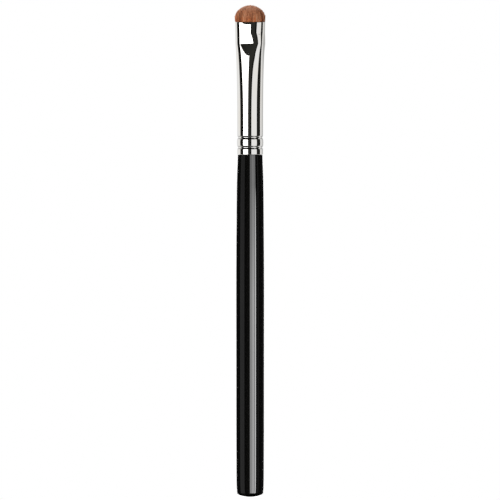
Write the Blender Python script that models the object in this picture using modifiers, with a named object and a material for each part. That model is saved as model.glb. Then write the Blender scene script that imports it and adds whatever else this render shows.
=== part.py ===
"""Eye definer brush.

A turned handle in black lacquer, a thin metal ferrule crimped onto its tenon, and a domed tuft of
brown hair. The ferrule is a round tube whose mouth is pressed into two broad faces. Inside it the
hair is tied with thread, and its butt is set in a plug of adhesive.

The brush stands on its tail at the origin, +Z up the handle. The broad faces look to -Y and +Y.
"""

from math import acos, atan2, copysign, cos, hypot, pi, radians, sin

import bmesh
import bpy
from mathutils import Vector

MM = 0.001

# Space kept between two pieces that seat on each other
SEAT_GAP = 0.3 * MM

# Handle, from the tail up to the shoulder under the ferrule
HANDLE_LENGTH = 111.0 * MM
NECK_STEP = 0.165 * MM
BELLY_DIAMETER = 9.1 * MM
BELLY_HEIGHT = 67.0 * MM
TAIL_DIAMETER = 8.5 * MM
TAIL_ROUND_HEIGHT = 1.45 * MM
TAIL_FLAT_DIAMETER = 3.0 * MM
TENON_LENGTH = 12.0 * MM
TENON_CHAMFER = 0.6 * MM

# Ferrule
FERRULE_LENGTH = 43.1 * MM
FERRULE_DIAMETER = 8.39 * MM
FERRULE_WALL = 0.3 * MM
RIM_ROUND = 0.08 * MM

# Crimps rolled round the ferrule's rear end, and the bead raised between them
CRIMP_HEIGHT = 2.15 * MM
CRIMP_SPACING = 3.25 * MM
CRIMP_WIDTH = 1.3 * MM
CRIMP_DEPTH = 0.24 * MM
CRIMP_COUNT = 2
BEAD_RISE = 0.1 * MM

# Pressed mouth: faces that lean in slightly, then a shoulder that eases into the round tube
MOUTH_THICKNESS = 6.2 * MM
FACE_LENGTH = 7.15 * MM
FACE_LEAN = 0.25 * MM
SHOULDER_LENGTH = 14.85 * MM
SHOULDER_EASE = 1.9
FACE_TURN = radians(5)

# Hair: the tuft is widest at its belly, a little over the mouth, and ends in a dome
TUFT_BELLY_HEIGHT = 1.3 * MM
DOME_HEIGHT = 4.3 * MM
DOME_ROUNDNESS = 2.15
TUFT_OVERHANG = 0.15 * MM
PACKED_DEPTH = 0.4 * MM
WAIST_FLARE_SHARE = 0.45

# Strands stand in rings round one in the middle, each ring with six more than the last
STRAND_RINGS = 10
STRANDS_PER_RING = 6
STRAND_SIDES = 4
STRAND_ROOT_DEPTH = 0.3 * MM
STRAND_FILL_SHARE = 0.72
STRAND_SHOULDER_SHARE = 0.92
STRAND_TAPER_SHARE = 0.9
RING_TURN_SHARE = 0.618

# Thread wound round the butt of the hair
THREAD_DIAMETER = 0.4 * MM
THREAD_SPACE = 0.5 * MM
THREAD_LOOPS = 4
POINTS_PER_LOOP = 24

# Adhesive, cast as a cup under and around the butt, with air between it and the tenon
AIR_SPACE = 1.2 * MM
GLUE_FLOOR = 2.0 * MM
GLUE_CUP_DEPTH = 2.5 * MM

ROUND_SEGMENTS = 36
CREASE = radians(28)
WELD = 0.001 * MM

# Outline of the handle: share of the way from one end to the other, share of the change in width
NECK_TO_BELLY_SHARES = (
    (0.0, 0.0), (0.05, 0.1), (0.11, 0.3), (0.17, 0.47), (0.24, 0.6), (0.35, 0.7),
    (0.5, 0.79), (0.64, 0.88), (0.78, 0.95), (0.9, 0.99), (1.0, 1.0),
)
BELLY_TO_TAIL_SHARES = ((0.22, 0.05), (0.45, 0.1), (0.68, 0.14), (0.86, 0.27), (0.945, 0.38), (0.975, 0.58))
TAIL_ROUND_SHARES = (0.0, 0.2, 0.4, 0.6, 0.8, 1.0)
CRIMP_SHARES = (-1.0, -0.6, -0.3, 0.0, 0.3, 0.6, 1.0)
FACE_SHARES = (0.0, 0.35, 0.7, 1.0)
SHOULDER_SHARES = (0.06, 0.16, 0.28, 0.42, 0.6, 0.8, 1.0)
BEAD_SHARES = (0.35, 0.5, 0.65)

FERRULE_RADIUS = FERRULE_DIAMETER / 2
BORE_RADIUS = FERRULE_RADIUS - FERRULE_WALL
FILL_RADIUS = BORE_RADIUS - SEAT_GAP
CUP_RADIUS = FILL_RADIUS - THREAD_DIAMETER
BUTT_RADIUS = CUP_RADIUS - SEAT_GAP
THREAD_PITCH = THREAD_DIAMETER + THREAD_SPACE

FERRULE_BASE = HANDLE_LENGTH + SEAT_GAP
MOUTH = FERRULE_BASE + FERRULE_LENGTH
TUFT_BELLY = MOUTH + TUFT_BELLY_HEIGHT
PACKED_TOP = MOUTH - PACKED_DEPTH
FACE_END = MOUTH - FACE_LENGTH
TENON_TOP = HANDLE_LENGTH + TENON_LENGTH
GLUE_BOTTOM = TENON_TOP + AIR_SPACE
CUP_FLOOR = GLUE_BOTTOM + GLUE_FLOOR
BUTT = CUP_FLOOR + SEAT_GAP
GLUE_RIM = BUTT + GLUE_CUP_DEPTH
THREAD_START = GLUE_RIM + SEAT_GAP + THREAD_DIAMETER / 2
THREAD_END = THREAD_START + THREAD_LOOPS * THREAD_PITCH


def crimp_centres():
    """Heights of the crimps' middles."""
    first = FERRULE_BASE + CRIMP_HEIGHT
    return [first + i * CRIMP_SPACING for i in range(CRIMP_COUNT)]


def crimp_depth(height):
    """How far the crimps push in at this height: a smooth dip round each middle."""
    depth = 0
    for centre in crimp_centres():
        share = abs(height - centre) / (CRIMP_WIDTH / 2)
        if share < 1:
            depth += CRIMP_DEPTH * (1 + cos(pi * share)) / 2
    return depth


def bead_rise(height):
    """How far the ferrule swells out between its crimps."""
    centres = crimp_centres()
    between = centres[0] < height < centres[-1]
    return BEAD_RISE * sin(pi * (height - centres[0]) / CRIMP_SPACING) ** 2 if between else 0


def crimp_heights():
    """Heights of the rings that draw the crimps and the bead, from the top down."""
    centres = crimp_centres()
    heights = [centre + share * CRIMP_WIDTH / 2 for centre in centres for share in CRIMP_SHARES]
    heights += [centre + share * CRIMP_SPACING for centre in centres[:-1] for share in BEAD_SHARES]
    return sorted(heights, reverse=True)


def squeeze_at(height):
    """How far each broad face is pressed in from the round tube at this height."""
    below = MOUTH - height
    at_mouth = FERRULE_RADIUS - MOUTH_THICKNESS / 2
    if below <= FACE_LENGTH:
        return at_mouth - FACE_LEAN * max(below, 0) / FACE_LENGTH
    share = min((below - FACE_LENGTH) / SHOULDER_LENGTH, 1)
    return (at_mouth - FACE_LEAN) * (1 - share) ** SHOULDER_EASE


def section_point(radius, height, angle):
    """A point on what was a circle of this radius in the round tube; angle 0 faces -Y.

    Pressing makes each face a wide arc, which turns FACE_TURN to either side of its middle, and
    each side a narrow one. The tube keeps its girth, and what lies inside it keeps its depth.
    """
    flattened = squeeze_at(height) / (2 / pi - (1 - cos(FACE_TURN)) / FACE_TURN)
    side_radius = FERRULE_RADIUS - flattened * 2 / pi
    face_radius = side_radius + flattened / FACE_TURN
    depth = FERRULE_RADIUS - radius
    along = FERRULE_RADIUS * atan2(abs(sin(angle)), abs(cos(angle)))
    past_face = along - face_radius * FACE_TURN
    if past_face < 0:
        turn = along / face_radius
        x = (face_radius - depth) * sin(turn)
        y = (face_radius - depth) * cos(turn) - (face_radius - side_radius) * cos(FACE_TURN)
    else:
        turn = FACE_TURN + past_face / side_radius
        x = (side_radius - depth) * sin(turn) + (face_radius - side_radius) * sin(FACE_TURN)
        y = (side_radius - depth) * cos(turn)
    return copysign(x, sin(angle)), copysign(y, -cos(angle))


def material(name, colour, roughness, metallic):
    """A plain Principled material."""
    made = bpy.data.materials.new(name)
    made.use_nodes = True
    shader = made.node_tree.nodes["Principled BSDF"]
    shader.inputs["Base Color"].default_value = (*colour, 1)
    shader.inputs["Roughness"].default_value = roughness
    shader.inputs["Metallic"].default_value = metallic
    made.diffuse_color = (*colour, 1)
    return made


def add_object(name, data, finish, collection):
    """Put a mesh or curve in the scene under this name."""
    made = bpy.data.objects.new(name, data)
    if finish:
        data.materials.append(finish)
    collection.objects.link(made)
    return made


def turned(name, outline, finish, collection, ring=False):
    """Spin an outline of (radius, height), which runs down the outer side, about Z."""
    count = len(outline)
    edges = [(i, i + 1) for i in range(count - 1)]
    if ring:
        edges.append((count - 1, 0))
    mesh = bpy.data.meshes.new(name)
    mesh.from_pydata([(radius, 0, height) for radius, height in outline], edges, [])
    made = add_object(name, mesh, finish, collection)
    turn = made.modifiers.new("Turn", "SCREW")
    turn.steps = turn.render_steps = ROUND_SEGMENTS
    turn.use_merge_vertices = True
    turn.merge_threshold = WELD
    turn.use_smooth_shade = True
    return made


def bake_modifiers(made):
    """Turn an object's evaluated shape into its own mesh."""
    evaluated = made.evaluated_get(bpy.context.evaluated_depsgraph_get())
    mesh = bpy.data.meshes.new_from_object(evaluated)
    made.modifiers.clear()
    made.data = mesh
    return mesh


def press(made):
    """Press a turned piece's mouth as the ferrule's is pressed; vertices on the axis stay there."""
    mesh = bake_modifiers(made)
    for vertex in mesh.vertices:
        x, y, height = vertex.co
        radius = hypot(x, y)
        if radius > WELD:
            vertex.co.xy = section_point(radius, height, atan2(x, -y))
    mesh.update()


def smooth(made):
    """Shade smooth, with an edge kept sharp where its faces turn by more than the crease angle."""
    made.data.shade_smooth()
    made.data.set_sharp_from_angle(angle=CREASE)


def handle_outline():
    """Tenon, shoulder, swelling body and rounded tail, as (radius, height) from the top down."""
    outline = [(0, TENON_TOP), (FILL_RADIUS - TENON_CHAMFER, TENON_TOP)]
    outline.append((FILL_RADIUS, TENON_TOP - TENON_CHAMFER))
    outline += [(FILL_RADIUS - crimp_depth(height), height) for height in crimp_heights()]
    outline.append((FILL_RADIUS, HANDLE_LENGTH))
    neck, belly, tail = FERRULE_RADIUS - NECK_STEP, BELLY_DIAMETER / 2, TAIL_DIAMETER / 2
    for way, change in NECK_TO_BELLY_SHARES:
        height = HANDLE_LENGTH + way * (BELLY_HEIGHT - HANDLE_LENGTH)
        outline.append((neck + change * (belly - neck), height))
    for way, change in BELLY_TO_TAIL_SHARES:
        height = BELLY_HEIGHT + way * (TAIL_ROUND_HEIGHT - BELLY_HEIGHT)
        outline.append((belly + change * (tail - belly), height))
    flat_angle = acos(TAIL_FLAT_DIAMETER / TAIL_DIAMETER)
    for share in TAIL_ROUND_SHARES:
        angle = share * flat_angle
        outline.append((tail * cos(angle), TAIL_ROUND_HEIGHT * (1 - sin(angle) / sin(flat_angle))))
    return outline + [(0, 0)]


def make_handle(collection):
    """Turned hardwood under gloss black lacquer, with a tenon grooved for the crimps."""
    lacquer = material("black_lacquer", (0.006, 0.006, 0.006), 0.08, 0)
    handle = turned("handle", handle_outline(), lacquer, collection)
    bake_modifiers(handle)
    smooth(handle)


def ferrule_heights():
    """Heights of the ferrule's rings between its two rims, from the mouth down."""
    heights = [MOUTH - RIM_ROUND - share * (FACE_LENGTH - RIM_ROUND) for share in FACE_SHARES]
    heights += [FACE_END - share * SHOULDER_LENGTH for share in SHOULDER_SHARES]
    return heights + crimp_heights() + [FERRULE_BASE + RIM_ROUND]


def ferrule_outline():
    """Outer side from the mouth down, then the bore back up, at one thickness of wall."""
    outer, bore = [(FERRULE_RADIUS - RIM_ROUND, MOUTH)], []
    for height in ferrule_heights():
        offset = bead_rise(height) - crimp_depth(height)
        outer.append((FERRULE_RADIUS + offset, height))
        bore.append((BORE_RADIUS + offset, height))
    outer.append((FERRULE_RADIUS - RIM_ROUND, FERRULE_BASE))
    bore = [(BORE_RADIUS, MOUTH), *bore[1:-1], (BORE_RADIUS, FERRULE_BASE)]
    return outer + bore[::-1]


def make_ferrule(collection):
    """Thin metal tube, crimped at the rear and pressed flat at the mouth."""
    nickel = material("polished_nickel", (0.78, 0.77, 0.75), 0.06, 1)
    ferrule = turned("ferrule", ferrule_outline(), nickel, collection, ring=True)
    press(ferrule)
    smooth(ferrule)


def bundle_outline():
    """Packed hair inside the ferrule, from its top down to the butt."""
    waist = THREAD_END + THREAD_DIAMETER / 2 + SEAT_GAP
    flare = waist + WAIST_FLARE_SHARE * (FACE_END - waist)
    outline = [(FILL_RADIUS, PACKED_TOP), (FILL_RADIUS, FACE_END)]
    for share in SHOULDER_SHARES[1::2]:
        height = FACE_END - share * SHOULDER_LENGTH
        if height > flare:
            outline.append((FILL_RADIUS, height))
    outline += [(FILL_RADIUS, flare), ((FILL_RADIUS + BUTT_RADIUS) / 2, (waist + flare) / 2)]
    return outline + [(BUTT_RADIUS, waist), (BUTT_RADIUS, BUTT), (0, BUTT)]


def tuft_point(share, angle, height):
    """Where a hair at this share of the tuft's radius stands at this height."""
    rise = min(max((height - PACKED_TOP) / (TUFT_BELLY - PACKED_TOP), 0), 1)
    radius = FILL_RADIUS + rise * (FERRULE_RADIUS + TUFT_OVERHANG - FILL_RADIUS)
    x, y = section_point(radius, MOUTH, angle)
    return Vector((x * share, y * share, height))


def dome_height(share):
    """Height of the dome over a hair at this share of the tuft's radius."""
    rest = max(1 - share ** DOME_ROUNDNESS, 0)
    return TUFT_BELLY + DOME_HEIGHT * rest ** (1 / DOME_ROUNDNESS)


def strand_cells():
    """Middle and half size, in share of radius and in angle, of each strand's cell."""
    rings = STRAND_RINGS + STRAND_FILL_SHARE / 2
    half = STRAND_FILL_SHARE / 2 / rings
    yield 0, 0, half, 0
    for ring in range(1, STRAND_RINGS + 1):
        count = ring * STRANDS_PER_RING
        turn = 2 * pi / count
        for i in range(count):
            yield ring / rings, (i + ring * RING_TURN_SHARE) * turn, half, turn / 2 * STRAND_FILL_SHARE


def strand_ring(cell, height, taper):
    """Corners of a strand at this height, anticlockwise from above."""
    share, angle, half_share, half_angle = cell
    reach, swing = half_share * taper, half_angle * taper
    if share == 0:
        return [tuft_point(reach, i * 2 * pi / STRAND_SIDES, height) for i in range(STRAND_SIDES)]
    corners = ((-reach, -swing), (reach, -swing), (reach, swing), (-reach, swing))
    return [tuft_point(share + out, angle + on, height) for out, on in corners]


def add_strand(bm, cell):
    """One hair: square at its root, a little slimmer at its shoulder, and pointed."""
    top = dome_height(cell[0])
    shoulder = PACKED_TOP + STRAND_SHOULDER_SHARE * (top - PACKED_TOP)
    levels = ((PACKED_TOP - STRAND_ROOT_DEPTH, 1), (PACKED_TOP, 1), (shoulder, STRAND_TAPER_SHARE))
    rings = [[bm.verts.new(p) for p in strand_ring(cell, *level)] for level in levels]
    tip = bm.verts.new(tuft_point(cell[0], cell[1], top))
    bm.faces.new(rings[0][::-1])
    for i in range(STRAND_SIDES):
        after = (i + 1) % STRAND_SIDES
        for lower, upper in zip(rings, rings[1:]):
            bm.faces.new((lower[i], lower[after], upper[after], upper[i]))
        bm.faces.new((rings[-1][i], rings[-1][after], tip))


def make_strands(collection):
    """All the hairs of the tuft as one guide, with their roots in the packed hair."""
    bm = bmesh.new()
    for cell in strand_cells():
        add_strand(bm, cell)
    mesh = bpy.data.meshes.new("strands")
    bm.to_mesh(mesh)
    bm.free()
    strands = add_object("strands", mesh, None, collection)
    strands.hide_render = True
    strands.display_type = "WIRE"
    return strands


def close_top(mesh):
    """Close the packed hair's open top with one face."""
    bm = bmesh.new()
    bm.from_mesh(mesh)
    rim = [edge for edge in bm.edges if edge.is_boundary]
    bmesh.ops.holes_fill(bm, edges=rim)
    bm.to_mesh(mesh)
    bm.free()


def make_hair(collection, cutters):
    """Packed brown hair, with the free strands of the dome fused to its top."""
    brown = material("brown_hair", (0.2, 0.085, 0.035), 0.55, 0)
    hair = turned("hair_tuft", bundle_outline(), brown, collection)
    press(hair)
    close_top(hair.data)
    smooth(hair)
    fuse = hair.modifiers.new("Strands", "BOOLEAN")
    fuse.operation = "UNION"
    fuse.solver = "EXACT"
    fuse.object = make_strands(cutters)


def thread_points():
    """A helix round the butt, with an end of one thread's thickness straight on at each side."""
    radius = BUTT_RADIUS + SEAT_GAP + THREAD_DIAMETER / 2
    points = []
    for i in range(THREAD_LOOPS * POINTS_PER_LOOP + 1):
        loops = i / POINTS_PER_LOOP
        height = THREAD_START + loops * THREAD_PITCH
        points.append(Vector((*section_point(radius, height, loops * 2 * pi), height)))
    first = points[0] + (points[0] - points[1]).normalized() * THREAD_DIAMETER
    last = points[-1] + (points[-1] - points[-2]).normalized() * THREAD_DIAMETER
    return [first, *points, last]


def least_gap(points):
    """Least space between the thread and itself, between points over half a loop apart."""
    apart = POINTS_PER_LOOP // 2
    nearest = min(
        (points[i] - points[j]).length
        for i in range(len(points))
        for j in range(i + apart, len(points))
    )
    return nearest - THREAD_DIAMETER


def make_thread(collection):
    """Binding thread, wound round the butt of the hair as one unbroken tube."""
    points = thread_points()
    print(f"binding_thread: least gap to itself {least_gap(points) / MM:.2f} mm")
    curve = bpy.data.curves.new("binding_thread", "CURVE")
    curve.dimensions = "3D"
    curve.bevel_depth = THREAD_DIAMETER / 2
    curve.bevel_resolution = 1
    curve.use_fill_caps = True
    spline = curve.splines.new("POLY")
    spline.points.add(len(points) - 1)
    for target, point in zip(spline.points, points):
        target.co = (*point, 1)
    add_object("binding_thread", curve, material("linen_thread", (0.6, 0.55, 0.45), 0.8, 0), collection)


def make_glue(collection):
    """Adhesive that fills the bore under the hair and cups its butt."""
    outline = [(0, CUP_FLOOR), (CUP_RADIUS, CUP_FLOOR), (CUP_RADIUS, GLUE_RIM)]
    outline += [(FILL_RADIUS, GLUE_RIM), (FILL_RADIUS, GLUE_BOTTOM), (0, GLUE_BOTTOM)]
    glue = turned("glue_plug", outline, material("amber_epoxy", (0.5, 0.3, 0.1), 0.4, 0), collection)
    press(glue)
    smooth(glue)


def main():
    for old in list(bpy.data.objects):
        bpy.data.objects.remove(old)
    brush = bpy.data.collections.new("eye_definer_brush")
    cutters = bpy.data.collections.new("guides")
    for collection in (brush, cutters):
        bpy.context.scene.collection.children.link(collection)
    make_handle(brush)
    make_ferrule(brush)
    make_hair(brush, cutters)
    make_thread(brush)
    make_glue(brush)


main()
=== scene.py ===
"""Eye definer brush: lacquered handle, pressed ferrule and a domed tuft of brown hair.

The file is laid out as an add-on and is run as a script. Each operator dresses one piece of the
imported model, which stands on its tail at the origin with +Z up the handle. Lengths are in metres.
"""

import random
from math import acos, atan2, cos, hypot, pi, radians, sin

import bmesh
import bpy
from bpy.props import FloatProperty, FloatVectorProperty, IntProperty, PointerProperty
from bpy.types import Operator, Panel, PropertyGroup
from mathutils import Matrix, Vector, noise
from mathutils.geometry import interpolate_bezier
from mathutils.kdtree import KDTree


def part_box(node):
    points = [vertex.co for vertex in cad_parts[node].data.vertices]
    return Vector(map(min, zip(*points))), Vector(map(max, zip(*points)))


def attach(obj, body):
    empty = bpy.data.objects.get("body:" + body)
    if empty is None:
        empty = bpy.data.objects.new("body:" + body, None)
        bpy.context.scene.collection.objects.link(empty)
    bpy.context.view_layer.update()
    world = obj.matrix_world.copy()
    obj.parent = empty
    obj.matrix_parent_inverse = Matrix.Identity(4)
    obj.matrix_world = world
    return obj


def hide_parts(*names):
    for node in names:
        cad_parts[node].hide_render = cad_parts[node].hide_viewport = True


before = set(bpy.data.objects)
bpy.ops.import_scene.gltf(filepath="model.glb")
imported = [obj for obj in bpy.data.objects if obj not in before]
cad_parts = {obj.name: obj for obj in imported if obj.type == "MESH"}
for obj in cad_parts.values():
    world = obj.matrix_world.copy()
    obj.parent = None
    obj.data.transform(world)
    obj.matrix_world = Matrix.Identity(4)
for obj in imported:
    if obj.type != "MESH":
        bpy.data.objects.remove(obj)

bl_info = {
    "name": "Eye Definer Brush",
    "version": (1, 0, 0),
    "blender": (4, 5, 0),
    "location": "3D View > Sidebar > Brush",
    "description": "Dresses the packed brush with lacquer, metal and hair, and sets its studio",
    "category": "Object",
}

MM = 0.001

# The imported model's own places, which every piece is fitted to
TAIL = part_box("handle")[0].z
TENON_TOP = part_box("handle")[1].z
FERRULE_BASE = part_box("ferrule")[0].z
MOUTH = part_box("ferrule")[1].z
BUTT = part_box("hair_tuft")[0].z
TUFT_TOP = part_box("hair_tuft")[1].z
THREAD_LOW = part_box("binding_thread")[0].z
THREAD_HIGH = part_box("binding_thread")[1].z
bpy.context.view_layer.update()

# Vertices closer together than this are merged, and one closer to the axis stays on it
MERGE_DISTANCE = 0.0005 * MM
AXIS_REACH = 0.01 * MM
# Edges that bend by more than this are drawn crisp
CRISP_ANGLE = radians(35)
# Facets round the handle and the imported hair, and round the polished tube
FACETS = 96
TUBE_FACETS = 144

# Shape of the handle's outline: way from one end to the other, part of the change in width
NECK_TO_BELLY = (
    (0.05, 0.1), (0.11, 0.3), (0.17, 0.47), (0.24, 0.6), (0.35, 0.7),
    (0.5, 0.79), (0.64, 0.88), (0.78, 0.95), (0.9, 0.99), (1.0, 1.0),
)
BELLY_TO_TAIL = (
    (0.22, 0.05), (0.45, 0.1), (0.68, 0.14), (0.86, 0.27), (0.945, 0.38), (0.975, 0.58),
)

# A broad face changes from its left flatness to its right one round its middle: how wide the change
# is, as a sine, how much of it is done at the middle, and how soon under the faces it draws back
SIDE_WIDTH = 0.5
SIDE_DONE = 0.6
DRIFT_PACE = 1.5
# Power of the cosine that keeps the lip's curl to the middle of the faces
LIP_FOCUS = 10

# Light panels: name, first and last azimuth from the camera in degrees, lower and upper height in
# mm, strength; those of the handle weaken between two more heights, to the last share of it
METAL_PANELS = (
    ("left_key", -63.5, -20.5, 30, 180, 2.6),
    ("left_low", -63.5, -20.5, -100, 30, 0.06),
    ("right_near", 11, 30, -100, 260, 0.98),
    ("right_middle", 30, 48, -700, 260, 0.98),
    ("right_key", 48, 61, -700, 900, 0.98),
    ("right_back", 101, 113, -700, 900, 1.05),
    ("far_right_back", 113, 138, -700, 900, 0.78),
    ("back_gap", 138, 163, -700, 900, 0.5),
    ("back", 163, 222, -700, 900, 0.85),
    ("left_back", 222, 262, -700, 900, 0.96),
)
HANDLE_PANELS = (
    ("left_fill", -91, -49, -300, 260, 0.21, 65, 112, 0.7),
    ("strip_a", -2, 14.8, -300, 260, 2.5, 65, 112, 0.55),
    ("strip_b", 14.8, 23.1, -300, 260, 3.4, 65, 112, 0.55),
    ("strip_c", 23.1, 31.5, -300, 260, 4.2, 65, 112, 0.5),
    ("strip_d", 31.5, 40.1, -300, 260, 1.9, 65, 112, 0.7),
    ("strip_e", 40.1, 45.5, -300, 260, 5.9, 85, 112, 0.36),
    ("strip_f", 45.5, 48.5, -300, 260, 5.9, 97, 109.5, 0.0),
    ("right_fill", 62, 76, -300, 260, 0.07, 65, 112, 1.0),
    ("far_fill", 112, 136, -300, 260, 0.03, 65, 112, 1.0),
    ("back_strip", 171, 189, -100, 260, 2.6, 65, 112, 1.0),
)
HAIR_PANELS = (
    ("hair_left", -75, -15, -350, 460, 1.2),
    ("hair_right", 5, 65, -350, 460, 0.08),
    ("hair_back", 130, 230, -350, 460, 0.9),
)
# How far the light panels stand from the brush
PANEL_REACH = 300 * MM
# Faint glow between the panels: azimuth from the camera in degrees, brightness
GAP_GLOW = (
    (-180, 0.0), (-103, 0.02), (-82, 0.012), (-72, 0.0), (-17, 0.03), (-2, 0.03),
    (5, 0.0), (64, 0.0), (76, 0.016), (95, 0.016), (110, 0.0), (180, 0.0),
)


# Shader helpers

class Sock:
    """An output of a node, which Python's operators carry on with Math nodes."""

    def __init__(self, finish, socket):
        self.finish = finish
        self.socket = socket

    def __add__(self, other):
        return self.finish.math("ADD", self, other)

    def __sub__(self, other):
        return self.finish.math("SUBTRACT", self, other)

    def __rsub__(self, other):
        return self.finish.math("SUBTRACT", other, self)

    def __mul__(self, other):
        return self.finish.math("MULTIPLY", self, other)

    def __truediv__(self, other):
        return self.finish.math("DIVIDE", self, other)

    def __pow__(self, other):
        return self.finish.math("POWER", self, other)

    __radd__ = __add__
    __rmul__ = __mul__


class Made:
    """A node that was just made; out() wraps one of its outputs."""

    def __init__(self, finish, node):
        self.finish = finish
        self.node = node

    def out(self, key=0):
        return Sock(self.finish, self.node.outputs[key])


class Finish:
    """A node tree with one way to add any node."""

    def __init__(self, tree):
        self.tree = tree

    def node(self, kind, settings=None, inputs=None, stops=None):
        """Add a node: its settings and a ramp's stops first, then what its sockets take."""
        made = self.tree.nodes.new("ShaderNode" + kind)
        for name, value in (settings or {}).items():
            setattr(made, name, value)
        if stops:
            ramp = made.color_ramp.elements
            while len(ramp) < len(stops):
                ramp.new(1.0)
            for element, (position, value) in zip(ramp, stops):
                element.position = position
                element.color = value
        for key, value in (inputs or {}).items():
            self.feed(made.inputs[key], value)
        return Made(self, made)

    def feed(self, socket, value):
        """Link a wrapped output to a socket, or set a plain value on it."""
        if isinstance(value, Sock):
            self.tree.links.new(value.socket, socket)
        else:
            socket.default_value = value

    def math(self, operation, *values):
        """What a Math node makes of one or two values."""
        return self.node("Math", {"operation": operation}, dict(enumerate(values))).out()

    def place(self, scale=(1, 1, 1), location=(0, 0, 0)):
        """Object coordinates, stretched and moved by a Mapping node."""
        space = self.node("TexCoord").out("Object")
        inputs = {"Vector": space, "Scale": scale, "Location": location}
        return self.node("Mapping", inputs=inputs).out()

    def axes(self):
        """Object coordinates taken apart: outputs 0, 1 and 2 are X, Y and Z."""
        return self.node("SeparateXYZ", inputs={0: self.node("TexCoord").out("Object")})

    def noise(self, vector, scale, detail=2.0, roughness=0.5):
        """Soft noise between 0 and 1."""
        inputs = {"Vector": vector, "Scale": scale, "Detail": detail, "Roughness": roughness}
        return self.node("TexNoise", inputs=inputs).out("Fac")

    def remap(self, value, low, high, out_low=0.0, out_high=1.0):
        """A value taken from one range to another and held inside it."""
        inputs = {0: value, 1: low, 2: high, 3: out_low, 4: out_high}
        return self.node("MapRange", {"clamp": True}, inputs).out()

    def mix(self, factor, first, second):
        """Two colours mixed by a factor."""
        return self.node("Mix", {"data_type": "RGBA"}, {0: factor, 6: first, 7: second}).out(2)

    def bump(self, height, strength, distance):
        """A normal that follows a height over the surface."""
        inputs = {"Strength": strength, "Distance": distance, "Height": height}
        return self.node("Bump", inputs=inputs).out()


def new_finish(name, colour, **constants):
    """A Principled material; the constants go straight onto its shader's sockets."""
    made = bpy.data.materials.new(name)
    made.use_nodes = True
    shader = made.node_tree.nodes["Principled BSDF"]
    shader.inputs["Base Color"].default_value = (*colour, 1)
    for key, value in constants.items():
        shader.inputs[key.replace("_", " ").title().replace("Ior", "IOR")].default_value = value
    made.diffuse_color = (*colour, 1)
    return made, Finish(made.node_tree), shader.inputs


def rgba(colour, gain=1.0):
    """A colour with its opacity, made lighter or darker by a gain."""
    return (*(min(c * gain, 1) for c in colour), 1)


# Object and mesh helpers

def linked(name, data):
    """A new object in the scene."""
    made = bpy.data.objects.new(name, data)
    bpy.context.scene.collection.objects.link(made)
    return made


def meshed(name, bm, finish):
    """The mesh that a bmesh ends as, with its material."""
    mesh = bpy.data.meshes.new(name)
    bm.to_mesh(mesh)
    bm.free()
    mesh.materials.append(finish)
    return mesh


def add_piece(name, bm, finish, slot, *replaced):
    """Turn a bmesh into a piece that rides on the brush and stands for the named nodes."""
    bmesh.ops.recalc_face_normals(bm, faces=bm.faces)
    mesh = meshed(name, bm, finish)
    mesh.shade_smooth()
    mesh.set_sharp_from_angle(angle=CRISP_ANGLE)
    piece = linked(name, mesh)
    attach(piece, "root")
    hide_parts(*replaced)


def eased(points, spacing):
    """A smooth line through points of (radius, height), with a new point about every spacing."""
    knots = [Vector(point) for point in points]
    count = len(knots)
    slopes = []
    for i in range(count):
        before, after = knots[max(i - 1, 0)], knots[min(i + 1, count - 1)]
        slopes.append((after.x - before.x) / (after.y - before.y))
    line = [knots[0]]
    for i in range(count - 1):
        start, end = knots[i], knots[i + 1]
        third = (end.y - start.y) / 3
        handle_a = start + Vector((slopes[i] * third, third))
        handle_b = end - Vector((slopes[i + 1] * third, third))
        steps = max(2, round(abs(end.y - start.y) / spacing) + 1)
        line += interpolate_bezier(start, handle_a, handle_b, end, steps)[1:]
    return [(point.x, point.y) for point in line]


def spun(outline, steps, ring=False):
    """Spin an outline of (radius, height) all the way round Z."""
    bm = bmesh.new()
    verts = [bm.verts.new((radius, 0, height)) for radius, height in outline]
    edges = [bm.edges.new(pair) for pair in zip(verts, verts[1:])]
    if ring:
        edges.append(bm.edges.new((verts[-1], verts[0])))
    bmesh.ops.spin(
        bm, geom=verts + edges, cent=(0, 0, 0), axis=(0, 0, 1), dvec=(0, 0, 0),
        angle=2 * pi, steps=steps, use_merge=True,
    )
    bmesh.ops.remove_doubles(bm, verts=bm.verts, dist=MERGE_DISTANCE)
    return bm


def steps_between(start, end, count):
    """Evenly spaced values from start to end, both included."""
    return [start + (end - start) * i / count for i in range(count + 1)]


def arc(centre, radius, start, end, count):
    """Points of (radius, height) on an arc, by angle from outward, anticlockwise."""
    return [
        (centre[0] + radius * cos(angle), centre[1] + radius * sin(angle))
        for angle in steps_between(start, end, count)
    ]


def press(bm, metal, lip=0.0):
    """Press a turned piece as the ferrule's mouth is pressed; what is on the axis stays there."""
    for vert in bm.verts:
        x, y, height = vert.co
        radius = hypot(x, y)
        if radius > AXIS_REACH:
            vert.co.xy = section_point(metal, radius, height, atan2(x, -y), lip)


def squeeze_at(metal, height, lip=0.0):
    """How far each broad face is pressed in from the round tube at this height."""
    below = MOUTH - height
    at_mouth = (metal.diameter - metal.mouth_thickness) / 2
    if below <= metal.face_length:
        curl = max(1 - below / metal.lip_length, 0) ** 2 * lip
        return at_mouth - metal.face_lean * max(below, 0) / metal.face_length + curl
    under = below - metal.face_length
    share = min(under / metal.shoulder_length, 1)
    crease = metal.crease_share * max(1 - under / metal.crease_length, 0) ** 3
    slope = (1 - metal.crease_share) * (1 - share) ** metal.shoulder_ease
    return (at_mouth - metal.face_lean) * (crease + slope)


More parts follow.
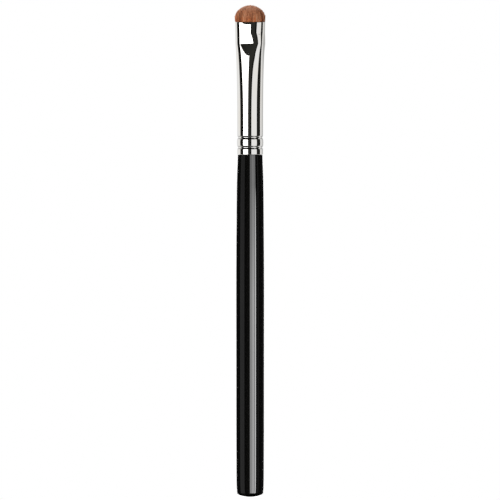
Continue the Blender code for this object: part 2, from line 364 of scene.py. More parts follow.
def section_point(metal, radius, height, angle, lip=0.0):
    """A point on what was a circle of this radius in the round tube; angle 0 faces -Y."""
    squeeze = squeeze_at(metal, height)
    pressed = squeeze / squeeze_at(metal, MOUTH)
    way = min(max(2 * (MOUTH - height) / metal.face_length - 1, 0), 1)
    under = max(MOUTH - height - metal.face_length, 0) / metal.crease_length
    drift = metal.flatness_drift * min(DRIFT_PACE * under, 1)
    side = min(max(sin(angle) / SIDE_WIDTH + SIDE_DONE - drift, 0), 1)
    side *= side * (3 - 2 * side)
    flatness = metal.left_flatness + (metal.right_flatness * pressed - metal.left_flatness) * side
    power = 2 + pressed * (metal.mouth_flatness + (flatness - metal.mouth_flatness) * way)
    broad = radius - squeeze_at(metal, height, lip * cos(angle) ** LIP_FOCUS)
    wide = radius + squeeze * metal.spread
    across, along = abs(sin(angle)) / wide, abs(cos(angle)) / broad
    reach = (across ** power + along ** power) ** (-1 / power)
    return reach * sin(angle), -reach * cos(angle)


def crimp_middles(metal):
    """Heights of the lower and the upper crimp's middle."""
    first = FERRULE_BASE + metal.crimp_height
    return [first, first + metal.crimp_spacing]


def crimp_zone(metal):
    """Heights over the upper crimp and under the lower one."""
    first, second = crimp_middles(metal)
    return second + metal.crimp_width, first - metal.crimp_width


def crimp_offset(metal, height, bead=True):
    """How far the tube's wall stands out at this height: in at the crimps, out between them."""
    middles = crimp_middles(metal)
    offset = 0.0
    for middle in middles:
        share = abs(height - middle) / (metal.crimp_width / 2)
        if share < 1:
            offset -= metal.crimp_depth * (1 + cos(pi * share)) / 2
    if bead and middles[0] < height < middles[1]:
        offset += metal.bead_rise * sin(pi * (height - middles[0]) / metal.crimp_spacing) ** 2
    return offset


# Sizes and colours that a user would change

def length_setting(name, description, default, least=0.001):
    """A length in metres."""
    return FloatProperty(
        name=name, description=description, default=default, min=least,
        unit="LENGTH", precision=5)


def colour_setting(name, description, default):
    """A colour without opacity."""
    return FloatVectorProperty(
        name=name, description=description, default=default, size=3, min=0, max=1,
        subtype="COLOR")


class HandleSettings(PropertyGroup):
    """Sizes and finish of the handle"""

    neck_diameter: length_setting(
        "Neck Diameter", "Width of the handle right under the ferrule", 8.06 * MM)
    belly_diameter: length_setting("Belly Diameter", "Greatest width of the handle", 9.1 * MM)
    belly_height: length_setting(
        "Belly Height", "Height of the greatest width over the tail", 67.0 * MM)
    tail_diameter: length_setting(
        "Tail Diameter", "Width of the handle over its rounded end", 8.5 * MM)
    tail_round: length_setting("Tail Round", "Height of the rounded end", 1.45 * MM, least=0.0001)
    tail_flat: length_setting(
        "Tail Flat", "Width of the flat that the tail ends in", 3.0 * MM, least=0.0001)
    shoulder_height: length_setting(
        "Shoulder Height", "Height of the shoulder that the ferrule seats on",
        FERRULE_BASE - 0.05 * MM)
    tenon_diameter: length_setting(
        "Tenon Diameter", "Width of the tenon inside the ferrule", 7.19 * MM)
    lacquer_colour: colour_setting(
        "Lacquer Colour", "Colour of the lacquer over the wood", (0.0012, 0.0011, 0.0011))
    wood_colour: colour_setting(
        "Wood Colour", "Colour of the bare wood of the tenon", (0.42, 0.26, 0.13))


class FerruleSettings(PropertyGroup):
    """Sizes and finish of the ferrule"""

    diameter: length_setting("Diameter", "Width of the round tube", 8.39 * MM)
    wall: length_setting("Wall", "Thickness of the tube's wall", 0.3 * MM, least=0.0001)
    rim_round: length_setting(
        "Rim Round", "Rounding of the tube's two rims", 0.12 * MM, least=0.00001)
    mouth_thickness: length_setting(
        "Mouth Thickness", "Distance between the two broad faces at the mouth", 6.2 * MM)
    face_length: length_setting(
        "Face Length", "Length of the broad faces down from the mouth", 7.05 * MM)
    face_lean: length_setting(
        "Face Lean", "How far each face leans in from its lower end to the mouth",
        0.25 * MM, least=0)
    mouth_flatness: FloatProperty(
        name="Mouth Flatness", description="Flatness of the faces at the mouth; 0 is an ellipse",
        default=0.67, min=0, max=5)
    left_flatness: FloatProperty(
        name="Left Flatness", description="Flatness of the faces' left side at their lower end",
        default=0.85, min=0, max=5)
    right_flatness: FloatProperty(
        name="Right Flatness", description="Flatness of the faces' right side at their lower end",
        default=3.45, min=0, max=5)
    flatness_drift: FloatProperty(
        name="Flatness Drift", description="How far the right flatness draws back under the faces",
        default=1.1, min=0, max=2)
    spread: FloatProperty(
        name="Spread", description="How far the narrow sides move out for what a face moves in",
        default=0.64, min=0, max=2)
    shoulder_length: length_setting(
        "Shoulder Length", "Length over which the faces ease into the round tube", 27.0 * MM)
    shoulder_ease: FloatProperty(
        name="Shoulder Ease", description="How quickly the shoulder leaves the faces",
        default=2.45, min=1, max=4)
    crease_length: length_setting("Crease Length", "Height of the crease under the faces", 7.4 * MM)
    crease_share: FloatProperty(
        name="Crease Share", description="Part of the press that ends in the crease",
        default=0.2, min=0, max=1, subtype="FACTOR")
    lip_length: length_setting(
        "Lip Length", "Height of the lip curled in at the mouth", 0.85 * MM, least=0.0001)
    lip_curl: length_setting(
        "Lip Curl", "How far the lip curls in on the faces", 0.07 * MM, least=0)
    crimp_height: length_setting(
        "Crimp Height", "Height of the lower crimp over the ferrule's end", 2.3 * MM, least=0.0001)
    crimp_spacing: length_setting(
        "Crimp Spacing", "Distance between the two crimps", 3.25 * MM, least=0.0001)
    crimp_width: length_setting("Crimp Width", "Width of one crimp", 1.3 * MM, least=0.0001)
    crimp_depth: length_setting("Crimp Depth", "Depth of one crimp", 0.24 * MM, least=0)
    bead_rise: length_setting(
        "Bead Rise", "How far the tube swells between its crimps", 0.1 * MM, least=0)
    metal_colour: colour_setting(
        "Metal Colour", "Colour of the polished plate", (0.78, 0.775, 0.76))


class HairSettings(PropertyGroup):
    """Form and colours of the hair"""

    rows: IntProperty(
        name="Rows", description="Hairs from one side of the tuft to the other",
        default=58, min=8, max=62)
    thickness: FloatProperty(
        name="Hair Thickness", description="Thickness of one hair at its root",
        default=0.125 * MM, min=0.00001, unit="LENGTH", precision=6)
    overhang: length_setting(
        "Overhang", "How far the hair bulges out over the metal", 0.03 * MM, least=0)
    belly_height: length_setting(
        "Belly Height", "Height over the mouth at which the dome starts", 1.7 * MM, least=0.0001)
    dome_roundness: FloatProperty(
        name="Dome Roundness", description="Fullness of the dome; 2 is an ellipse",
        default=1.8, min=1, max=4)
    unevenness: length_setting(
        "Unevenness", "How much the hairs differ in length", 0.05 * MM, least=0)
    lean: length_setting("Lean", "How far a tip strays to the side", 0.07 * MM, least=0)
    clumps: IntProperty(
        name="Clumps", description="Number of clumps that the tips gather in",
        default=170, min=1, max=1000)
    clumping: FloatProperty(
        name="Clumping", description="How strongly the tips gather",
        default=0.32, min=0, max=1, subtype="FACTOR")
    brown: colour_setting("Brown", "Main colour of the hair", (0.38, 0.11, 0.034))
    pale: colour_setting("Pale", "Colour of the palest hairs and the tips", (0.66, 0.35, 0.2))
    dark: colour_setting("Dark", "Colour of the darkest hairs and the roots", (0.13, 0.03, 0.007))


class BindingSettings(PropertyGroup):
    """Thread and adhesive inside the ferrule"""

    thread_diameter: length_setting(
        "Thread Diameter", "Thickness of the binding thread", 0.4 * MM, least=0.0001)
    winding_radius: length_setting(
        "Winding Radius", "Radius of the thread's middle round the hair", 3.395 * MM, least=0.0001)
    loops: IntProperty(
        name="Loops", description="Turns of the thread", default=4, min=1, max=12)
    thread_colour: colour_setting("Thread Colour", "Colour of the waxed thread", (0.6, 0.52, 0.38))
    glue_colour: colour_setting("Adhesive Colour", "Colour of the set adhesive", (0.5, 0.28, 0.08))


class StageSettings(PropertyGroup):
    """Camera, floor and lights"""

    azimuth: FloatProperty(
        name="Camera Azimuth", description="How far the camera stands round from the broad face",
        default=radians(12.5), subtype="ANGLE")
    distance: FloatProperty(
        name="Camera Distance", description="Distance from the camera to the brush",
        default=1.5, min=0.1, unit="LENGTH")
    view_height: length_setting(
        "View Height", "Height of what the picture takes in", 162.535 * MM, least=0.01)
    aim_height: length_setting(
        "Aim Height", "Height of the middle of the picture", 80.29 * MM, least=0)
    aim_side: FloatProperty(
        name="Aim Side", description="How far the picture's middle lies to the left of the brush",
        default=0.05 * MM, unit="LENGTH", precision=5)
    floor_colour: colour_setting("Floor Colour", "Colour of the plain floor", (0.92, 0.92, 0.92))


# Operators, one for each piece

class BRUSH_OT_handle(Operator):
    """Turn the handle and give it its black lacquer"""

    bl_idname = "brush_scene.handle"
    bl_label = "Handle"

    def execute(self, context):
        shape, metal = context.scene.brush_handle, context.scene.brush_ferrule
        bm = spun(self.outline(shape, metal), FACETS)
        add_piece("handle_body", bm, self.lacquer(shape), "handle", "handle")
        return {"FINISHED"}

    def outline(self, shape, metal):
        """Tenon, shoulder, swelling body and rounded tail, from the top down."""
        tenon, shoulder = shape.tenon_diameter / 2, shape.shoulder_height
        widths = shape.neck_diameter, shape.belly_diameter, shape.tail_diameter
        neck, belly, tail = (width / 2 for width in widths)
        chamfer, edge = 0.6 * MM, 0.12 * MM
        line = [(0, TENON_TOP), (tenon - chamfer, TENON_TOP), (tenon, TENON_TOP - chamfer)]
        for height in steps_between(*crimp_zone(metal), 40):
            line.append((tenon + crimp_offset(metal, height, bead=False), height))
        line.append((tenon, shoulder))
        line += arc((neck - edge, shoulder - edge), edge, pi / 2, 0, 4)[:-1]
        knots = [(neck, shoulder - edge)]
        for way, change in NECK_TO_BELLY:
            height = shoulder + way * (shape.belly_height - shoulder)
            knots.append((neck + change * (belly - neck), height))
        for way, change in BELLY_TO_TAIL:
            height = shape.belly_height + way * (shape.tail_round - shape.belly_height)
            knots.append((belly + change * (tail - belly), height))
        line += eased(knots + [(tail, shape.tail_round)], 0.9 * MM)
        flat_angle = acos(shape.tail_flat / shape.tail_diameter)
        for angle in steps_between(0, flat_angle, 16)[1:]:
            line.append((tail * cos(angle), shape.tail_round * (1 - sin(angle) / sin(flat_angle))))
        return line + [(0, TAIL)]

    def lacquer(self, shape):
        """Gloss black with rubbed patches, and bare wood from just above the shoulder."""
        made, nodes, shader = new_finish(
            "black_lacquer", shape.lacquer_colour, coat_weight=1.0, coat_roughness=0.02,
            coat_ior=1.8, specular_ior_level=0.1)
        fine = nodes.noise(nodes.place(), 900, detail=3)
        smudge = nodes.noise(nodes.place(scale=(1, 1, 0.35), location=(0.3, 0.1, 0)), 160, detail=4)
        rubbed = nodes.remap(smudge, 0.45, 0.75)
        black = nodes.mix(fine, rgba(shape.lacquer_colour, 0.7), rgba(shape.lacquer_colour, 1.6))
        grain = nodes.noise(nodes.place(scale=(1, 1, 0.04)), 1400, detail=3, roughness=0.6)
        wood = nodes.mix(grain, rgba(shape.wood_colour, 0.55), rgba(shape.wood_colour, 1.1))
        low, high = shape.shoulder_height + 1.0 * MM, shape.shoulder_height + 1.4 * MM
        bare = nodes.remap(nodes.axes().out(2), low, high)
        nodes.feed(shader["Base Color"], nodes.mix(bare, black, wood))
        roughness = 0.06 + 0.05 * rubbed + 0.03 * fine
        nodes.feed(shader["Roughness"], roughness + bare * 0.45)
        nodes.feed(shader["Coat Weight"], 1 - bare)
        peel = nodes.noise(nodes.place(), 420, detail=1)
        nodes.feed(shader["Normal"], nodes.bump(peel + fine * 0.1, 0.05, 0.02 * MM))
        return made


class BRUSH_OT_ferrule(Operator):
    """Turn the thin metal tube, press its mouth and give it its plate"""

    bl_idname = "brush_scene.ferrule"
    bl_label = "Ferrule"

    def execute(self, context):
        metal = context.scene.brush_ferrule
        bm = spun(self.outline(metal), TUBE_FACETS, ring=True)
        press(bm, metal, lip=metal.lip_curl)
        add_piece("ferrule_tube", bm, self.plate(metal), "ferrule", "ferrule")
        return {"FINISHED"}

    def heights(self, metal):
        """Heights of the tube's rings between its rims, close together where it bends."""
        lip_end, face_end = MOUTH - metal.lip_length, MOUTH - metal.face_length
        shoulder_end = face_end - metal.shoulder_length
        crimps_top, crimps_end = crimp_zone(metal)
        crease = 0.03 * MM
        rings = steps_between(MOUTH - metal.rim_round, lip_end, 8)
        rings += steps_between(lip_end, face_end + crease, 14)[1:]
        rings += steps_between(face_end - crease, shoulder_end, 74)
        rings += steps_between(shoulder_end, crimps_top, 8)[1:]
        rings += steps_between(crimps_top, crimps_end, 84)[1:]
        return rings + [FERRULE_BASE + metal.rim_round]

    def outline(self, metal):
        """Outer side from the mouth down, round the rear rim, and up the bore."""
        tube, rounding = metal.diameter / 2, metal.rim_round
        bore = tube - metal.wall
        heights = self.heights(metal)
        line = arc((tube - rounding, MOUTH - rounding), rounding, pi / 2, 0, 4)[:-1]
        line += [(tube + crimp_offset(metal, height), height) for height in heights[:-1]]
        base = FERRULE_BASE + rounding
        line += arc((tube - rounding, base), rounding, 0, -pi / 2, 4)
        line += arc((bore + rounding, base), rounding, -pi / 2, -pi, 4)
        inside = [(bore + crimp_offset(metal, height), height) for height in heights[1:-1]]
        line += inside[::-2]
        return line + arc((bore + rounding, MOUTH - rounding), rounding, pi, pi / 2, 4)

    def plate(self, metal):
        """Polished plate with a faint drawn grain, and painted shade in the walls of the crimps
        that darkens their reflections.
        """
        made, nodes, shader = new_finish("polished_plate", metal.metal_colour, metallic=1.0)
        drawn = nodes.noise(nodes.place(scale=(1, 1, 0.02)), 2600, detail=3, roughness=0.6)
        cloud = nodes.noise(nodes.place(scale=(1, 1, 0.5), location=(0.7, 0.2, 0)), 220, detail=3)
        dots = nodes.noise(nodes.place(), 5200, detail=1)
        # Painted shade: a mask over the walls of the crimps, strongest on the broad faces, darkens
        # the plate nearly to black there in place of dark reflections; the same mask roughens the
        # walls a little.
        axes = nodes.axes()
        away = (nodes.math("ABSOLUTE", axes.out(2) - middle) for middle in crimp_middles(metal))
        least = nodes.math("MINIMUM", *away)
        inner = nodes.remap(least, 0.1 * MM, 0.2 * MM)
        outer = nodes.remap(least, 0.48 * MM, 0.6 * MM, 1.0, 0.0)
        broad = nodes.remap((axes.out(1) / (metal.diameter / 2)) ** 2, 0.3, 0.9, 0.3, 1.0)
        crimp_painted_shade = inner * outer * broad * nodes.remap(cloud, 0.25, 0.6, 0.85, 1.0)
        red, green, blue = metal.metal_colour
        warm = rgba((red, green * 0.97, blue * 0.92))
        tint = nodes.mix(nodes.remap(cloud, 0.35, 0.7), rgba(metal.metal_colour), warm)
        # The near-black colour is the painted shade in the walls of the crimps.
        nodes.feed(shader["Base Color"], nodes.mix(crimp_painted_shade, tint, (0.02, 0.018, 0.016, 1)))
        roughness = 0.015 + 0.012 * cloud + 0.01 * drawn + crimp_painted_shade * 0.04
        nodes.feed(shader["Roughness"], roughness + nodes.remap(dots, 0.68, 0.8) * 0.05)
        nodes.feed(shader["Normal"], nodes.bump(drawn, 0.04, 0.01 * MM))
        return made


class BRUSH_OT_hair_bundle(Operator):
    """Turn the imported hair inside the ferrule, from its butt up to the mouth"""

    bl_idname = "brush_scene.hair_bundle"
    bl_label = "Packed Hair"

    def execute(self, context):
        hair, metal = context.scene.brush_hair, context.scene.brush_ferrule
        bm = spun(self.outline(metal), FACETS)
        press(bm, metal)
        finish = hair_finish(hair, "packed_hair", loose=False)
        add_piece("hair_bundle", bm, finish, "hair", "hair_tuft")
        return {"FINISHED"}

    def outline(self, metal):
        """Packed hair from just under the mouth to its tied butt."""
        full = metal.diameter / 2 - metal.wall - 0.2 * MM
        tied = full - 0.9 * MM
        waist = THREAD_HIGH + 0.3 * MM
        top = MOUTH - 0.4 * MM
        even = top - 10 * MM
        edge, chamfer = 0.15 * MM, 0.1 * MM
        knots = [
            (full, even), (full * 0.985, waist + 6.5 * MM), (tied * 1.08, waist + 1.5 * MM),
            (tied, waist),
        ]
        line = [(0, top)] + arc((full - edge, top - edge), edge, pi / 2, 0, 4)
        line += [(full, height) for height in steps_between(top - 0.5 * MM, even, 12)[:-1]]
        line += eased(knots, 0.5 * MM)
        return line + [(tied, BUTT + chamfer), (tied - chamfer, BUTT), (0, BUTT)]


class BRUSH_OT_hair_strands(Operator):
    """Grow the free hairs of the tuft and comb them into its dome"""

    bl_idname = "brush_scene.hair_strands"
    bl_label = "Hair Strands"

    # Where a hair has its rings, as a share of the way from its root to its tip
    LEVELS = (0.0, 0.22, 0.26, 0.3, 0.72, 0.93, 1.0)
    # Share of that way that lies at the mouth and under it
    ROOT = 0.3
    # Turn from one clump to the next, which spreads them evenly over the disc
    GOLDEN_ANGLE = 2.39996

    def execute(self, context):
        hair, metal = context.scene.brush_hair, context.scene.brush_ferrule
        bm = self.grow(hair)
        self.comb(bm, hair, metal)
        finish = hair_finish(hair, "loose_hair", loose=True)
        add_piece("hair_strands", bm, finish, "hair", "hair_tuft")
        return {"FINISHED"}

    def grow(self, hair):
        """One square prism for each face of a grid, drawn to a point; its height is the way up."""
        bm = bmesh.new()
        bmesh.ops.create_grid(bm, x_segments=hair.rows, y_segments=hair.rows, size=1)
        bmesh.ops.split_edges(bm, edges=bm.edges)
        middle = bm.verts.layers.float_vector.new("middle")
        bm.verts.layers.float.new("tone")
        bm.verts.layers.float.new("way")
        for face in bm.faces:
            centre = face.calc_center_median()
            for vert in face.verts:
                vert[middle] = centre
        top = list(bm.faces) + list(bm.edges)
        for low, high in zip(self.LEVELS, self.LEVELS[1:]):
            # The edges are passed too, so that no face stays inside the hair; its root keeps one
            top = bmesh.ops.extrude_face_region(bm, geom=top, use_keep_orig=low == 0)["geom"]
            verts = [item for item in top if isinstance(item, bmesh.types.BMVert)]
            bmesh.ops.translate(bm, verts=verts, vec=(0, 0, high - low))
        rims = [item for item in top if isinstance(item, bmesh.types.BMEdge)]
        bmesh.ops.collapse(bm, edges=rims, uvs=False)
        return bm

    def comb(self, bm, hair, metal):
        """Bend each prism into a hair between the mouth and the dome."""
        middle = bm.verts.layers.float_vector["middle"]
        tone_layer = bm.verts.layers.float["tone"]
        way_layer = bm.verts.layers.float["way"]
        clumps = self.clump_tree(hair)
        strands = {}
        for vert in bm.verts:
            key = tuple(round(value, 5) for value in vert[middle].xy)
            strands.setdefault(key, []).append(vert)
        for key in sorted(strands):
            strand = self.strand(key, clumps, hair, metal)
            for vert in strands[key]:
                way = vert.co.z
                centre, spread, tone = strand(way)
                offset = (vert.co.xy - vert[middle].xy) * hair.rows
                vert.co = centre + Vector((offset.x, offset.y, 0)) * spread
                vert[tone_layer] = tone
                vert[way_layer] = way

    def clump_tree(self, hair):
        """Places that the tips gather at, spread evenly over the disc."""
        dice = random.Random(7)
        tree = KDTree(hair.clumps)
        self.clump_tones = []
        for i in range(hair.clumps):
            reach, angle = ((i + 0.5) / hair.clumps) ** 0.5, i * self.GOLDEN_ANGLE
            place = Vector((reach * cos(angle), reach * sin(angle), 0))
            tree.insert(place + Vector((dice.gauss(0, 0.03), dice.gauss(0, 0.03), 0)), i)
            self.clump_tones.append(dice.random())
        tree.balance()
        return tree

    def strand(self, key, clumps, hair, metal):
        """A function from the way up a hair to its place, half thickness and tone."""
        dice = random.Random(f"{key[0]:.4f} {key[1]:.4f}")
        disc = disc_point(*(value + dice.uniform(-0.3, 0.3) * 2 / hair.rows for value in key))
        share, angle = min(disc.length, 0.995), atan2(disc.x, -disc.y)
        gathered, clump, _ = clumps.find(Vector((disc.x, disc.y, 0)))
        pull = (gathered.xy - disc) * hair.clumping * (1 - 0.8 * share ** 4)
        lock = noise.noise(Vector((8 * disc.x / share, 8 * disc.y / share, 1.5 * share)))
        tone = 0.45 + 0.3 * lock + 0.3 * (self.clump_tones[clump] - 0.5)
        tone += 0.45 * (dice.random() - 0.5)
        top = dome_height(hair, share) + dice.gauss(0, hair.unevenness) * (0.4 + 0.6 * share)
        root, free = MOUTH - 0.6 * MM, MOUTH + 0.2 * MM
        stray = Vector((dice.gauss(0, hair.lean), dice.gauss(0, hair.lean)))
        wave, phase = dice.gauss(0, hair.lean * 0.25), dice.uniform(0, 2 * pi)
        packed = metal.diameter / 2 - metal.wall - 0.08 * MM
        full = metal.diameter / 2

        def at(way):
            low, high = min(way / self.ROOT, 1), max((way - self.ROOT) / (1 - self.ROOT), 0)
            height = root + low * (free - root) + high * (top - free)
            out = min(max((height - MOUTH + 0.02 * MM) / (0.2 * MM), 0), 1)
            flare = hair.overhang * min(max((height - MOUTH) / hair.belly_height, 0), 1)
            radius = packed + (full - packed) * sin(out * pi / 2) + flare
            edge = Vector(section_point(metal, radius, MOUTH, angle))
            gather = way * way
            place = edge * share + Vector((pull.x, pull.y)) * gather * full
            place += stray * gather + stray.orthogonal().normalized() * wave * sin(way * 5 + phase)
            spread = hair.thickness / 2 * (1 - 0.5 * way * way)
            return Vector((place.x, place.y, height)), spread, tone

        return at


def disc_point(x, y):
    """A point of the square taken to the disc, with areas kept."""
    x, y = min(max(x, -1), 1), min(max(y, -1), 1)
    if abs(x) < 1e-6 and abs(y) < 1e-6:
        return Vector((0, 0))
    if abs(x) > abs(y):
        radius, angle = x, pi / 4 * y / x
    else:
        radius, angle = y, pi / 2 - pi / 4 * x / y
    return Vector((radius * cos(angle), radius * sin(angle)))


def dome_height(hair, share):
    """Height of the dome over a hair at this share of the tuft's radius."""
    belly = MOUTH + hair.belly_height
    rest = max(1 - min(share, 1) ** hair.dome_roundness, 0)
    return belly + (TUFT_TOP - belly) * rest ** (1 / hair.dome_roundness)


def hair_finish(hair, name, loose):
    """Brown hair: each strand has its own tone, darker at the root and paler at the tip, with
    painted light on the top of the dome.
    """
    made, nodes, shader = new_finish(name, hair.brown, roughness=0.42, specular_ior_level=0.2)
    if loose:
        tone = nodes.node("Attribute", {"attribute_name": "tone"}).out("Fac")
        way = nodes.node("Attribute", {"attribute_name": "way"}).out("Fac")
    else:
        tone = nodes.noise(nodes.place(scale=(1, 1, 0.03)), 6000, detail=2)
        way = nodes.remap(tone, 0.0, 1.0, 0.2, 0.4)
    patch = nodes.noise(nodes.place(scale=(1, 1, 0.3)), 520, detail=2)
    streak = nodes.remap(tone * 0.8 + patch * 0.2, 0.25, 0.75)
    body = nodes.node("ValToRGB", inputs={0: streak}, stops=(
        (0.0, rgba(hair.dark)), (0.35, rgba(hair.brown, 0.8)), (0.7, rgba(hair.brown, 1.2)),
        (1.0, rgba(hair.pale, 0.9)),
    )).out()
    tip = nodes.remap(way, 0.6, 1.0, 0.0, 0.5) * nodes.remap(tone, 0.2, 0.8, 0.3, 1.0)
    tipped = nodes.mix(tip, body, rgba(hair.pale))
    rooted = nodes.mix(nodes.remap(way, 0.0, 0.3, 0.5, 0.0), tipped, rgba(hair.dark))
    # Painted light: the top of the dome is mixed towards a lighter pale by height, as if lit from
    # above.
    lit_top_share = nodes.remap(nodes.axes().out(2), MOUTH + 3.4 * MM, TUFT_TOP, 0.0, 0.7)
    painted_top_light = (*(c + 0.15 for c in hair.pale), 1)
    nodes.feed(shader["Base Color"], nodes.mix(lit_top_share, rooted, painted_top_light))
    fibre = nodes.noise(nodes.place(scale=(1, 1, 0.08)), 9000, detail=2)
    nodes.feed(shader["Roughness"], 0.34 + fibre * 0.2)
    nodes.feed(shader["Normal"], nodes.bump(fibre, 0.3, 0.01 * MM))
    return made


class BRUSH_OT_thread(Operator):
    """Wind the two-ply thread round the butt of the hair"""

    bl_idname = "brush_scene.thread"
    bl_label = "Binding Thread"

    # Radius of a ply and how far its middle lies from the thread's, as shares of the thread
    PLY_RADIUS = 0.27
    PLY_REACH = 0.23
    # Points and twists of a ply in one loop
    POINTS = 96
    TWISTS = 9

    def execute(self, context):
        binding = context.scene.brush_binding
        joined = bmesh.new()
        for ply in range(2):
            curve = bpy.data.curves.new("ply", "CURVE")
            curve.dimensions = "3D"
            curve.bevel_depth = binding.thread_diameter * self.PLY_RADIUS
            curve.bevel_resolution = 1
            curve.use_fill_caps = True
            points = self.points(binding, ply * pi)
            spline = curve.splines.new("POLY")
            spline.points.add(len(points) - 1)
            for target, point in zip(spline.points, points):
                target.co = (*point, 1)
            holder = bpy.data.objects.new("ply", curve)
            mesh = bpy.data.meshes.new_from_object(holder)
            joined.from_mesh(mesh)
            bpy.data.objects.remove(holder)
            bpy.data.meshes.remove(mesh)
            bpy.data.curves.remove(curve)
        bmesh.ops.remove_doubles(joined, verts=joined.verts, dist=MERGE_DISTANCE)
        add_piece("binding_winding", joined, self.yarn(binding), "thread", "binding_thread")
        return {"FINISHED"}

    def points(self, binding, start):
        """One ply: a helix round the butt, twisted about the thread's own middle."""
        reach = binding.thread_diameter * self.PLY_REACH
        low = THREAD_LOW + binding.thread_diameter / 2
        high = THREAD_HIGH - binding.thread_diameter / 2
        points = []
        count = binding.loops * self.POINTS
        for i in range(count + 1):
            angle = 2 * pi * binding.loops * i / count
            twist = start + angle * self.TWISTS
            radius = binding.winding_radius + reach * cos(twist)
            height = low + (high - low) * i / count + reach * sin(twist)
            points.append((radius * sin(angle), -radius * cos(angle), height))
        return points

    def yarn(self, binding):
        """Pale waxed thread with specks of fuzz, stained here and there by the adhesive."""
        colour = binding.thread_colour
        made, nodes, shader = new_finish(
            "waxed_thread", colour, sheen_weight=0.3, sheen_roughness=0.5)
        fuzz = nodes.noise(nodes.place(), 9000, detail=3)
        cloud = nodes.noise(nodes.place(), 900, detail=2)
        clean = nodes.mix(fuzz, rgba(colour, 0.6), rgba(colour, 1.15))
        amber = nodes.mix(nodes.remap(cloud, 0.5, 0.7) * 0.5, clean, rgba(binding.glue_colour))
        nodes.feed(shader["Base Color"], amber)
        nodes.feed(shader["Roughness"], 0.55 + fuzz * 0.3)
        nodes.feed(shader["Normal"], nodes.bump(fuzz, 0.4, 0.02 * MM))
        return made


class BRUSH_OT_glue(Operator):
    """Give the cast adhesive its amber finish"""

    bl_idname = "brush_scene.glue"
    bl_label = "Adhesive"

    def execute(self, context):
        binding = context.scene.brush_binding
        made, nodes, shader = new_finish(
            "amber_adhesive", binding.glue_colour, specular_ior_level=0.5, subsurface_weight=0.1)
        cloud = nodes.noise(nodes.place(), 700, detail=4)
        cells = nodes.node("TexVoronoi", inputs={"Vector": nodes.place(), "Scale": 2200.0})
        bubble = nodes.remap(cells.out("Distance"), 0.1, 0.3, 1.0, 0.0)
        colour = nodes.mix(cloud, rgba(binding.glue_colour, 0.55), rgba(binding.glue_colour, 1.3))
        nodes.feed(shader["Base Color"], nodes.mix(bubble * 0.4, colour, (0.75, 0.6, 0.35, 1)))
        nodes.feed(shader["Roughness"], 0.2 + cloud * 0.25)
        nodes.feed(shader["Normal"], nodes.bump(cloud + bubble * 0.5, 0.3, 0.03 * MM))
        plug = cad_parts["glue_plug"]
        plug.data.materials.clear()
        plug.data.materials.append(made)
        return {"FINISHED"}


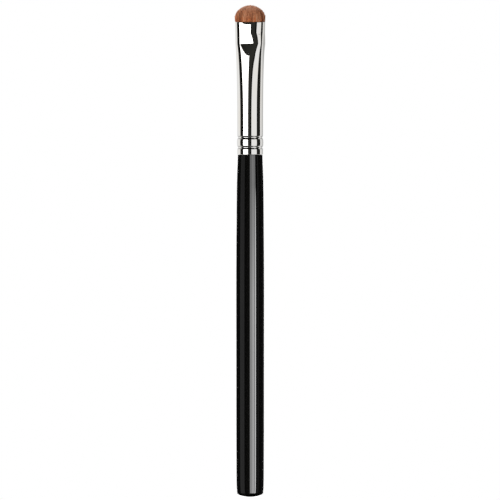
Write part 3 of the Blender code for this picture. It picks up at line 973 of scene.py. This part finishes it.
class BRUSH_OT_stage(Operator):
    """Set the pale floor, the soft studio lights and the camera"""

    bl_idname = "brush_scene.stage"
    bl_label = "Stage"

    def execute(self, context):
        stage = context.scene.brush_stage
        floor = self.floor(stage)
        self.world(context, stage)
        self.lights(stage, floor)
        self.camera(context, stage)
        context.scene.view_settings.view_transform = "Standard"
        return {"FINISHED"}

    def floor(self, stage):
        """A wide plain floor that the brush stands on."""
        made, nodes, shader = new_finish("pale_floor", stage.floor_colour, roughness=0.9)
        speckle = nodes.noise(nodes.place(), 60, detail=3)
        pale = nodes.mix(speckle, rgba(stage.floor_colour, 0.98), rgba(stage.floor_colour))
        nodes.feed(shader["Base Color"], pale)
        bm = bmesh.new()
        bmesh.ops.create_grid(bm, x_segments=1, y_segments=1, size=4)
        floor = linked("floor", meshed("floor", bm, made))
        floor.visible_glossy = floor.visible_shadow = False
        return floor

    def world(self, context, stage):
        """White to the camera; in reflections, dark with a faint glow between the panels."""
        world = bpy.data.worlds.new("studio")
        world.use_nodes = True
        context.scene.world = world
        nodes = Finish(world.node_tree)
        space = nodes.node("TexCoord").out("Generated")
        turn = nodes.node("Mapping", inputs={"Vector": space, "Rotation": (0, 0, -stage.azimuth)})
        axes = nodes.node("SeparateXYZ", inputs={0: turn.out()})
        azimuth = nodes.math("ARCTAN2", axes.out(0), axes.out(1) * -1)
        share = azimuth * (0.5 / pi) + 0.5
        stops = [(0.5 + angle / 360, rgba((glow, glow, glow * 0.9))) for angle, glow in GAP_GLOW]
        gaps = nodes.node("ValToRGB", inputs={0: share}, stops=stops).out()
        seen = nodes.node("LightPath").out("Is Camera Ray")
        ground = world.node_tree.nodes["Background"]
        nodes.feed(ground.inputs["Color"], nodes.mix(seen, gaps, (1, 1, 1, 1)))

    def lights(self, stage, floor):
        """Soft lights round the brush, each for the pieces that it is meant for."""
        metal = [bpy.data.objects["ferrule_tube"]]
        hair = [bpy.data.objects["hair_strands"], bpy.data.objects["hair_bundle"]]
        handle = [bpy.data.objects["handle_body"]]
        groups = (METAL_PANELS, metal), (HANDLE_PANELS, handle), (HAIR_PANELS, hair)
        for panels, receivers in groups:
            for name, start, end, low, high, strength, *fading in panels:
                made = self.panel(stage, name, start, end, low, high, strength, receivers)
                if fading:
                    self.fade(made.data, *fading)
        self.level("overhead", 0.8, 0.75, 1.2, [floor] + handle)
        self.level("hair_top", 0.4, 0.5, 6.5, hair, x=-70 * MM)
        self.level("floor_light", 8.0, 3.0, 0.95, [floor])
        self.level("floor_glow", 3.0, -0.71, 0.2, metal, facing=pi)

    def fade(self, data, start, end, weakest):
        """Let a light weaken upwards from one height in mm to another, as the highlights do."""
        data.use_nodes = True
        nodes = Finish(data.node_tree)
        place = nodes.node("NewGeometry").out("Position")
        height = nodes.node("SeparateXYZ", inputs={0: place}).out(2)
        strength = nodes.remap(height, start * MM, end * MM, 1.0, weakest)
        nodes.feed(data.node_tree.nodes["Emission"].inputs["Strength"], strength)

    def lamp(self, name, wide, high, strength, receivers):
        """A rectangular light of even brightness, seen in reflections and not by the camera."""
        data = bpy.data.lights.new(name, "AREA")
        data.shape = "RECTANGLE"
        data.size, data.size_y = wide, high
        data.energy = strength * pi * wide * high
        made = linked(name, data)
        made.visible_camera = False
        seen_by = bpy.data.collections.new(name + "_receivers")
        for receiver in receivers:
            seen_by.objects.link(receiver)
        made.light_linking.receiver_collection = seen_by
        return made

    def panel(self, stage, name, start, end, low, high, strength, receivers):
        """An upright light between two azimuths, counted from the camera to its right."""
        low, high = low * MM, high * MM
        half = radians(end - start) / 2
        turn = stage.azimuth + radians(start + end) / 2
        away = Vector((sin(turn), -cos(turn), 0))
        made = self.lamp(name, 2 * PANEL_REACH * sin(half), high - low, strength, receivers)
        made.location = away * PANEL_REACH * cos(half) + Vector((0, 0, (low + high) / 2))
        made.rotation_euler = (pi / 2, 0, turn)
        return made

    def level(self, name, size, height, strength, receivers, x=0.0, facing=0.0):
        """A level square light; its facing is 0 for down and half a turn for up."""
        made = self.lamp(name, size, size, strength, receivers)
        made.location = (x, 0, height)
        made.rotation_euler = (facing, 0, 0)

    def camera(self, context, stage):
        """A camera without perspective, level with the brush."""
        data = bpy.data.cameras.new("camera")
        data.type = "ORTHO"
        data.ortho_scale = stage.view_height
        data.clip_end = 100
        camera = linked("camera", data)
        away = Vector((sin(stage.azimuth), -cos(stage.azimuth), 0)) * stage.distance
        left = Vector((-cos(stage.azimuth), -sin(stage.azimuth), 0)) * stage.aim_side
        camera.location = away + left + Vector((0, 0, stage.aim_height))
        camera.rotation_euler = (pi / 2, 0, stage.azimuth)
        context.scene.camera = camera


class BRUSH_PT_panel(Panel):
    """Brush pieces and their settings"""

    bl_idname = "BRUSH_PT_panel"
    bl_label = "Eye Definer Brush"
    bl_space_type = "VIEW_3D"
    bl_region_type = "UI"
    bl_category = "Brush"

    def draw(self, context):
        for operator in OPERATORS:
            self.layout.operator(operator.bl_idname)
        for name, group in SETTINGS.items():
            box = self.layout.box()
            settings = getattr(context.scene, name)
            for key in group.__annotations__:
                box.prop(settings, key)


SETTINGS = {
    "brush_handle": HandleSettings,
    "brush_ferrule": FerruleSettings,
    "brush_hair": HairSettings,
    "brush_binding": BindingSettings,
    "brush_stage": StageSettings,
}
OPERATORS = (
    BRUSH_OT_handle, BRUSH_OT_ferrule, BRUSH_OT_hair_bundle, BRUSH_OT_hair_strands,
    BRUSH_OT_thread, BRUSH_OT_glue, BRUSH_OT_stage,
)


def register():
    for group in SETTINGS.values():
        bpy.utils.register_class(group)
    for name, group in SETTINGS.items():
        setattr(bpy.types.Scene, name, PointerProperty(type=group))
    for operator in OPERATORS:
        bpy.utils.register_class(operator)
    bpy.utils.register_class(BRUSH_PT_panel)


def unregister():
    bpy.utils.unregister_class(BRUSH_PT_panel)
    for operator in reversed(OPERATORS):
        bpy.utils.unregister_class(operator)
    for name in SETTINGS:
        delattr(bpy.types.Scene, name)
    for group in SETTINGS.values():
        bpy.utils.unregister_class(group)


def main():
    """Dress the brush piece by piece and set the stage."""
    register()
    for call in (
        bpy.ops.brush_scene.handle, bpy.ops.brush_scene.ferrule, bpy.ops.brush_scene.hair_bundle,
        bpy.ops.brush_scene.hair_strands, bpy.ops.brush_scene.thread, bpy.ops.brush_scene.glue,
        bpy.ops.brush_scene.stage,
    ):
        call()


if __name__ == "__main__":
    main()
